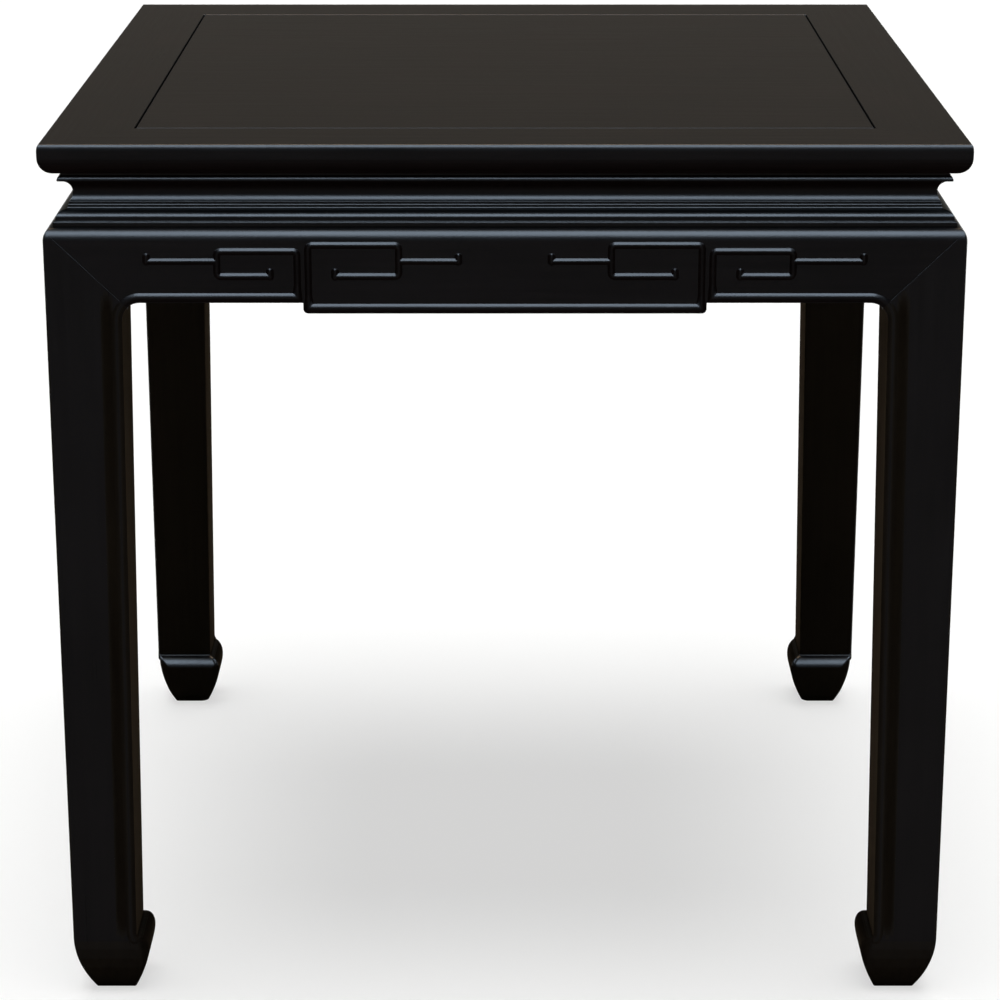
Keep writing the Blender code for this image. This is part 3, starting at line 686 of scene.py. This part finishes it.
def leg_ring(z, outer, inner):
    """Section of a leg: eased edges on the column, rounded inner edges on the hoof."""
    swell = min(1, max(0, 1 - (z - HOOF_CROWN_HEIGHT) / (HOOF_LEDGE_HEIGHT - HOOF_CROWN_HEIGHT)))
    fullness = min(1, HOOF_ROUND_SOLE + (1 - HOOF_ROUND_SOLE) * z / HOOF_CROWN_HEIGHT)
    run = LEG_INNER_EASING + (HOOF_ROUND_RUN * fullness - LEG_INNER_EASING) * swell
    run = max(run, inner - ankle + LEG_INNER_EASING) if swell else run
    depth = LEG_INNER_EASING + (HOOF_ROUND_DEPTH * fullness - LEG_INNER_EASING) * math.sqrt(swell)
    corner = LEG_INNER_CORNER + (HOOF_INNER_CORNER - LEG_INNER_CORNER) * swell
    easing = LEG_EDGE_EASING
    ring = arc(outer + easing, outer + easing, easing, easing, 180, 270, SMALL_ARC_STEPS)
    ring += arc(inner - run, outer + depth, run, depth, 270, 360, SMALL_ARC_STEPS)
    ring += arc(inner - corner, inner - corner, corner, corner, 0, 90, SMALL_ARC_STEPS)
    ring += arc(outer + depth, inner - run, depth, run, 90, 180, SMALL_ARC_STEPS)
    return [(x, y, z) for x, y in ring]


def leg_haunch():
    """The leg's share of the round inside corner, before the mitre trims it."""
    radius = INSIDE_CORNER_RADIUS
    outline = arc(leg_inner + radius, flank_bottom - radius, radius, radius, 180, 90, ARC_STEPS)
    outline += [(leg_inner + radius, flank_bottom + ROOT), (leg_inner - OVERRUN, flank_bottom + ROOT)]
    outline += [(leg_inner - OVERRUN, shoulder_bottom)]
    return upright_prism("haunch", outline, (RELIEF, apron_back))


def leg_bead():
    """The bead down the inner edge of a leg's face, from the mitre to where it curls into the hoof."""
    radius = INSIDE_CORNER_RADIUS + bead_offset
    path = arc(leg_inner + INSIDE_CORNER_RADIUS, shoulder_bottom, radius, radius, 90, 180, ARC_STEPS)
    low = ankle - bead_offset
    drop = LEG_BEAD_CURL_TOP - LEG_BEAD_END
    curl = LEG_BEAD_CURL
    path += arc(low + curl, LEG_BEAD_CURL_TOP, curl, drop, 180, LEG_BEAD_CURL_ANGLE, SMALL_ARC_STEPS)
    return ridge("bead", path, [BEAD_WIDTH] * len(path), KEY_SHARE, False)


def leg_hollow():
    """Cutter for the shallow hollow beside the bead, fading out at both ends."""
    stations = []
    for i in range(HOLLOW_STEPS + 1):
        z = HOLLOW_TOP + (HOLLOW_END - HOLLOW_TOP) * i / HOLLOW_STEPS
        along = (z - HOOF_LEDGE_HEIGHT) / (shoulder_bottom - HOOF_LEDGE_HEIGHT)
        edge = ankle + LEG_TAPER * min(max(along, 0), 1)
        fade = min(1, (HOLLOW_TOP - z) / HOLLOW_FADE, (z - HOLLOW_END) / HOLLOW_FADE)
        middle = edge - bead_offset - (BEAD_WIDTH + HOLLOW_WIDTH) / 2 + HOLLOW_OVERLAP
        stations.append((Vector((middle, z)), HOLLOW_WIDTH, fade))
    return sweep("hollow", stations, hollow_section)


def make_leg(name):
    """A leg: tapered column with hoof foot, haunches, beads and hollows, mitred for two aprons."""
    leg = loft(name, [leg_ring(*level) for level in leg_levels()])
    both_faces = (lambda made: made, to_other_face)
    for turn in both_faces:
        combine(leg, turn(leg_haunch()), "UNION")
        combine(leg, turn(leg_hollow()), "DIFFERENCE")
        combine(leg, turn(leg_bead()), "UNION")
    for turn in both_faces:
        combine(leg, turn(mitre_half("seat", True, (-OVERRUN, post_inset))), "DIFFERENCE")
        combine(leg, turn(seam_chamfer()), "DIFFERENCE")
    return leg


def nodes_of(holder):
    """Tools to add and to link nodes in the emptied node tree of a material or world."""
    holder.use_nodes = True
    tree = holder.node_tree
    tree.nodes.clear()

    def add(kind, **settings):
        node = tree.nodes.new(kind)
        for key, value in settings.items():
            setattr(node, key, value)
        return node

    return add, tree.links.new


def noise(add, link, vector, **values):
    """A noise texture over a vector, with its sockets set by name."""
    node = add("ShaderNodeTexNoise")
    for socket, value in values.items():
        node.inputs[socket].default_value = value
    link(vector, node.inputs["Vector"])
    return node.outputs["Fac"]


def stretched(add, link, vector, factors):
    """A vector multiplied along each axis."""
    node = add("ShaderNodeVectorMath", operation="MULTIPLY")
    node.inputs[1].default_value = factors
    link(vector, node.inputs[0])
    return node.outputs["Vector"]


def ramp(add, link, value, stops):
    """A colour ramp over a value, with two or more places and colours in rising order."""
    node = add("ShaderNodeValToRGB")
    elements = node.color_ramp.elements
    elements[0].position, elements[0].color = stops[0]
    elements[1].position, elements[1].color = stops[-1]
    for place, colour in stops[1:-1]:
        elements.new(place).color = colour
    link(value, node.inputs["Fac"])
    return node.outputs["Color"]


def grain_ramp(add, link, value, places, tints):
    """A colour ramp from the dark to the light grain."""
    return ramp(add, link, value, [(place, tint + (1,)) for place, tint in zip(places, tints)])


def map_range(add, link, value, source, target, **settings):
    """A value carried over from one range to another."""
    node = add("ShaderNodeMapRange", **settings)
    for socket, limit in zip(("From Min", "From Max", "To Min", "To Max"), source + target):
        node.inputs[socket].default_value = limit
    link(value, node.inputs["Value"])
    return node.outputs["Result"]


def bump(add, link, height, settings):
    """A bump of some strength and distance."""
    node = add("ShaderNodeBump")
    node.inputs["Strength"].default_value, node.inputs["Distance"].default_value = settings
    link(height, node.inputs["Height"])
    return node


def lacquer(name, grain, tints, gloss_level, grazing_spread, painted_sheen=0.0):
    """Satin black lacquer over hardwood: faint grain along the piece, a soft skin and a brown undertone.

    The gloss level fades its reflection, and the spread softens it where the face is seen along its length;
    the painted sheen is a tinted glow at grazing angles, a painted reflection on faces that turn away.
    """
    material = bpy.data.materials.new(name)
    add, link = nodes_of(material)
    output = add("ShaderNodeOutputMaterial")
    shader = add("ShaderNodeBsdfPrincipled")
    shader.inputs["IOR"].default_value = LACQUER_IOR
    shader.inputs["Specular IOR Level"].default_value = gloss_level
    shader.inputs["Sheen Weight"].default_value = painted_sheen
    shader.inputs["Sheen Roughness"].default_value = PAINTED_SHEEN_ROUGHNESS
    shader.inputs["Sheen Tint"].default_value = PAINTED_SHEEN_TINT
    link(shader.outputs["BSDF"], output.inputs["Surface"])

    # Each piece has its own part of the grain
    coordinates = add("ShaderNodeTexCoord")
    place = add("ShaderNodeObjectInfo")
    apart = add("ShaderNodeVectorMath", operation="MULTIPLY_ADD")
    apart.inputs[1].default_value = (GRAIN_SHIFT, GRAIN_SHIFT, GRAIN_SHIFT)
    link(place.outputs["Location"], apart.inputs[0])
    link(coordinates.outputs["Object"], apart.inputs[2])
    vector = apart.outputs["Vector"]
    along = stretched(add, link, vector, grain)
    fibres = noise(add, link, along, Scale=1.0, Detail=5.0, Roughness=0.6, Distortion=0.4)
    clouds = noise(add, link, vector, Scale=CLOUD_SCALE, Detail=3.0)
    skin = noise(add, link, vector, Scale=SKIN_SCALE, Detail=2.0)

    mixed = add("ShaderNodeMath", operation="MULTIPLY_ADD")
    mixed.inputs[1].default_value = FIBRE_SHARE
    link(fibres, mixed.inputs[0])
    share = add("ShaderNodeMath", operation="MULTIPLY")
    share.inputs[1].default_value = CLOUD_SHARE
    link(clouds, share.inputs[0])
    link(share.outputs["Value"], mixed.inputs[2])
    link(grain_ramp(add, link, mixed.outputs["Value"], GRAIN_RANGE, tints), shader.inputs["Base Color"])

    gloss = map_range(add, link, mixed.outputs["Value"], ROUGHNESS_GRAIN, LACQUER_ROUGHNESS)
    grazing = add("ShaderNodeLayerWeight")
    grazing.inputs["Blend"].default_value = 0.5
    flat = map_range(add, link, grazing.outputs["Facing"], GRAZING_RANGE, (0.0, grazing_spread),
                     interpolation_type="SMOOTHSTEP")
    rough = add("ShaderNodeMath", operation="ADD")
    link(gloss, rough.inputs[0])
    link(flat, rough.inputs[1])
    link(rough.outputs["Value"], shader.inputs["Roughness"])

    peel = bump(add, link, skin, SKIN_BUMP)
    pores = bump(add, link, fibres, PORE_BUMP)
    link(peel.outputs["Normal"], pores.inputs["Normal"])
    link(pores.outputs["Normal"], shader.inputs["Normal"])
    return material


def painted_shade_grades(name, grain, tints, gloss_level, grazing_spread, painted_sheen):
    """Copies of the lacquer with painted shade: falling gloss, the last one without any, and rising painted
    sheen.
    """
    finishes = []
    for grade in range(1, SHADE_GRADES + 1):
        share = grade / SHADE_GRADES
        level = gloss_level * (1 - share) ** SHADE_GLOSS_FALL
        finishes.append(lacquer("%s_%d" % (name, grade), grain, tints, level, grazing_spread, painted_sheen * share))
    return finishes


def bare_wood(name, grain):
    """Stained, unpolished wood under the top: open grain along the piece."""
    material = bpy.data.materials.new(name)
    add, link = nodes_of(material)
    output = add("ShaderNodeOutputMaterial")
    shader = add("ShaderNodeBsdfPrincipled")
    link(shader.outputs["BSDF"], output.inputs["Surface"])
    coordinates = add("ShaderNodeTexCoord")
    along = stretched(add, link, coordinates.outputs["Object"], grain)
    fibres = noise(add, link, along, Scale=1.0, Detail=6.0, Distortion=0.8)
    link(grain_ramp(add, link, fibres, WOOD_RANGE, WOOD_TINTS), shader.inputs["Base Color"])
    link(map_range(add, link, fibres, (0.0, 1.0), WOOD_ROUGHNESS), shader.inputs["Roughness"])
    link(bump(add, link, fibres, WOOD_BUMP).outputs["Normal"], shader.inputs["Normal"])
    return material


def coat(made, material):
    """Give a piece one finish all over."""
    made.data.materials.clear()
    made.data.materials.append(material)


def finish_mesh(made, material):
    """Smooth a piece's rounds and give it its finish."""
    coat(made, material)
    made.data.shade_smooth()
    made.data.set_sharp_from_angle(angle=SMOOTH_ANGLE)


def bar_painted_shade(face):
    """How much painted shade a face of a rail, moulding or apron takes, as falling gloss: undersides, and
    the flanks of raised lines, which it darkens like shade.
    """
    x, y, z = face.normal
    return max(abs(x), -z) / SHADE_TURN if y < 0 else 0


def leg_painted_shade(face):
    """How much painted shade a face of a leg takes, as falling gloss, warmer colour and a painted brown
    sheen: its inner faces, flanks, hollows and the underside of its foot.
    """
    x, y, z = face.normal
    middle = face.center
    # Faces in the hollow beside the bead get painted shade by how deep they lie
    hollow = 0
    if min(x, y) < -SHADE_TURN and HOLLOW_END < middle.z < HOLLOW_TOP:
        hollow = (min(middle.x, middle.y) - RELIEF) / (SHADE_TURN * HOLLOW_DEPTH)
    if middle.z > flank_bottom:
        return hollow
    return max(hollow, max(x, y) / SHADE_TURN, min(abs(x), abs(y)) / SHADE_TURN, -SHADE_TUCK * z)


def paint_shade(piece, materials, shade_of):
    """Give the faces of a piece that turn away a painted shade, in grades of falling gloss."""
    for material in materials:
        piece.data.materials.append(material)
    for face in piece.data.polygons:
        face.material_index = round(len(materials) * min(1, max(0, shade_of(face))))


def shine_ledge(leg, axis):
    """Give one of the hoof's ledges, which face inward and up, full gloss in place of its painted shade, and
    its fillet a middle grade of painted shade.
    """
    for face in leg.data.polygons:
        if min(face.normal.z, face.normal[axis]) > LEDGE_FACING and face.center.z < flank_bottom:
            face.material_index = 0 if face.center.z < HOOF_LEDGE_HEIGHT else SHADE_GRADES // 2


def spread(first, placings):
    """Set copies of a piece round the table, each standing for its own node."""
    for name, turns, x, y in placings:
        piece = linked(name + "_fine", first.data)
        piece.rotation_euler = (0, 0, turns * math.pi / 2)
        piece.location = (x, y, 0)
        normals = piece.modifiers.new("normals", "WEIGHTED_NORMAL")
        normals.keep_sharp = True
        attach(piece, "root")
        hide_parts(name)
    bpy.data.objects.remove(first)


def make_table():
    """Every fine piece of the table, and the finish of the solids that stay."""
    along = lacquer("black_lacquer_along", GRAIN_LENGTHWISE, LACQUER_TINTS, BAR_GLOSS, 0.0)
    # Copies of the lacquer with painted shade for faces that turn away; on the legs also a painted brown
    # sheen
    shaded = painted_shade_grades("black_lacquer_shaded", GRAIN_LENGTHWISE, LACQUER_TINTS, BAR_GLOSS, 0.0, 0.0)
    upright = lacquer("black_lacquer_upright", GRAIN_STANDING, LACQUER_TINTS, LEG_GLOSS, LEG_GRAZING_SPREAD)
    leg_shade_grades = painted_shade_grades("black_lacquer_shade_and_sheen", GRAIN_STANDING, SHADE_AND_SHEEN_TINTS, LEG_GLOSS, LEG_GRAZING_SPREAD,
                         LEG_PAINTED_SHEEN)
    half = LENGTH / 2
    sides = (("front", 0, 0, -half), ("right", 1, half, 0), ("back", 2, 0, half), ("left", 3, -half, 0))
    corners = (("front_left", 0, -half, -half), ("front_right", 1, half, -half),
               ("back_right", 2, half, half), ("back_left", 3, -half, half))
    bars = (("top_rail_", mitred_bar("rail", soften(rail_profile()))),
            ("waist_", mitred_bar("waist", soften(waist_profile()))),
            ("ledge_", mitred_bar("ledge", soften(ledge_profile()))),
            ("apron_", make_apron("apron")))
    for stem, bar in bars:
        finish_mesh(bar, along)
        paint_shade(bar, shaded, bar_painted_shade)
        spread(bar, [(stem + side, turns, x, y) for side, turns, x, y in sides])
    for corner, turns, x, y in corners:
        leg = make_leg("leg")
        finish_mesh(leg, upright)
        paint_shade(leg, leg_shade_grades, leg_painted_shade)
        if corner in LIT_LEDGES:
            shine_ledge(leg, LIT_LEDGES[corner])
        spread(leg, [("leg_" + corner, turns, x, y)])

    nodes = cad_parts
    coat(nodes["top_panel"], along)
    wood = bare_wood("bare_wood", WOOD_GRAIN)
    for side in ("left", "right"):
        coat(nodes["panel_batten_" + side], wood)


def faded(add, link, fade, near, far):
    """A colour that goes from near to far with the fade."""
    node = add("ShaderNodeMix", data_type="RGBA")
    node.inputs["A"].default_value = near
    node.inputs["B"].default_value = far
    link(fade, node.inputs["Factor"])
    return node.outputs["Result"]


def make_floor():
    """A wide pale floor that fades to the backdrop's grey far away and keeps the table's shadow."""
    bm = bmesh.new()
    bmesh.ops.create_grid(bm, x_segments=1, y_segments=1, size=FLOOR_REACH)
    mesh = bpy.data.meshes.new("floor")
    bm.to_mesh(mesh)
    bm.free()
    floor = linked("floor", mesh)
    floor.location.z = -FLOOR_DROP
    material = bpy.data.materials.new("pale_floor")
    add, link = nodes_of(material)
    output = add("ShaderNodeOutputMaterial")
    coordinates = add("ShaderNodeTexCoord")
    away = add("ShaderNodeVectorMath", operation="LENGTH")
    link(coordinates.outputs["Object"], away.inputs[0])
    fade = map_range(add, link, away.outputs["Value"], FLOOR_FADE, (0.0, 1.0),
                     interpolation_type="SMOOTHSTEP")
    diffuse = add("ShaderNodeBsdfDiffuse")
    link(faded(add, link, fade, FLOOR_COLOUR, FAR_FLOOR_COLOUR), diffuse.inputs["Color"])
    glow = add("ShaderNodeEmission")
    link(faded(add, link, fade, WHITE, HORIZON_COLOUR), glow.inputs["Color"])
    path = add("ShaderNodeLightPath")
    seen = add("ShaderNodeMath", operation="ADD", use_clamp=True)
    link(path.outputs["Is Camera Ray"], seen.inputs[0])
    link(path.outputs["Is Glossy Ray"], seen.inputs[1])
    seen_all = add("ShaderNodeMath", operation="ADD", use_clamp=True)
    link(seen.outputs["Value"], seen_all.inputs[0])
    link(path.outputs["Is Transmission Ray"], seen_all.inputs[1])
    share = add("ShaderNodeMath", operation="MULTIPLY")
    share.inputs[1].default_value = GLOW_SHARE
    link(seen_all.outputs["Value"], share.inputs[0])
    both = add("ShaderNodeMixShader")
    link(share.outputs["Value"], both.inputs["Fac"])
    link(diffuse.outputs["BSDF"], both.inputs[1])
    link(glow.outputs["Emission"], both.inputs[2])
    link(both.outputs["Shader"], output.inputs["Surface"])
    mesh.materials.append(material)


def add_sun(name, energy, tint, width, tilt, turn):
    """A far lamp of some angular width, tilted from overhead towards the front and then turned."""
    data = bpy.data.lights.new(name, "SUN")
    data.energy = energy
    data.angle = math.radians(width)
    data.color = tint
    lamp = linked(name, data)
    lamp.rotation_euler = (math.radians(tilt), 0, math.radians(turn))
    return lamp


def make_light():
    """A wide soft lamp overhead, softboxes that show only in the gloss, and a dim room, darker upwards."""
    add_sun("overhead", *OVERHEAD)
    for settings in SOFTBOXES:
        softbox = add_sun("softbox_%d" % settings[-1], *settings)
        softbox.visible_diffuse = False

    world = bpy.data.worlds.new("room")
    bpy.context.scene.world = world
    add, link = nodes_of(world)
    output = add("ShaderNodeOutputWorld")
    background = add("ShaderNodeBackground")
    link(background.outputs["Background"], output.inputs["Surface"])
    coordinates = add("ShaderNodeTexCoord")
    split = add("ShaderNodeSeparateXYZ")
    link(coordinates.outputs["Generated"], split.inputs["Vector"])
    link(ramp(add, link, split.outputs["Z"], ROOM_STOPS), background.inputs["Color"])


def make_camera():
    """The camera at the photograph's viewing angle: level across, looking a little down on the table."""
    data = bpy.data.cameras.new("camera")
    data.sensor_width = SENSOR_WIDTH
    data.lens = LENS
    data.shift_x = SHIFT_X
    data.shift_y = SHIFT_Y
    camera = linked("camera", data)
    camera.location = (0, cad_low.y - CAMERA_DISTANCE, CAMERA_HEIGHT)
    camera.rotation_euler = (math.radians(90 - CAMERA_PITCH), 0, 0)
    bpy.context.scene.camera = camera


make_table()
make_floor()
make_light()
make_camera()
bpy.context.scene.view_settings.view_transform = "Standard"
